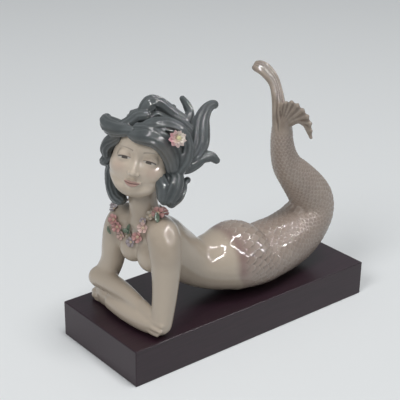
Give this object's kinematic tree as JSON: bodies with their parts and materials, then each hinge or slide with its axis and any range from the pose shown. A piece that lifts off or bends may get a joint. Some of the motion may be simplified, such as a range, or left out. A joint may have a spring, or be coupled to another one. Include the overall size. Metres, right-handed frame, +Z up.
{
  "type": "mermaid figurine",
  "caption": "Glazed porcelain mermaid lying on a rectangular dark wooden plinth, tail curled up behind her, with a flower garland and a lily in her hair.",
  "frame": {"origin": "centre of the plinth's underside", "axes": "+X runs from her head to her tail along the plinth, +Y is her right-hand side, +Z is up"},
  "size_m": [0.28, 0.1147, 0.2386],
  "materials": {
    "porcelain": "gloss",
    "plinth_wood": "satin",
    "rose_petals": "satin",
    "blush_petals": "satin",
    "lilac_petals": "satin",
    "cream_petals": "satin",
    "leaf_green": "satin",
    "lily_petals": "satin",
    "lily_heart": "satin"
  },
  "bodies": {
    "root": {"plinth": "plinth_wood", "mermaid": "porcelain", "garland_flower_01": "cream_petals", "garland_flower_02": "cream_petals", "garland_flower_03": "lilac_petals", "garland_flower_04": "cream_petals", "garland_flower_05": "lilac_petals", "garland_flower_06": "blush_petals", "garland_flower_07": "lilac_petals", "garland_flower_08": "lilac_petals", "garland_flower_09": "rose_petals", "garland_flower_10": "blush_petals", "garland_flower_11": "rose_petals", "garland_flower_12": "rose_petals", "garland_flower_13": "rose_petals", "garland_flower_14": "rose_petals", "garland_flower_15": "cream_petals", "garland_flower_16": "lilac_petals", "garland_flower_17": "rose_petals", "garland_leaf_01": "leaf_green", "garland_leaf_02": "leaf_green", "garland_leaf_03": "leaf_green", "garland_leaf_04": "leaf_green", "hair_flower_outer": "lily_petals", "hair_flower_inner": "lily_petals", "hair_flower_heart": "lily_heart"}
  },
  "joints": []
}
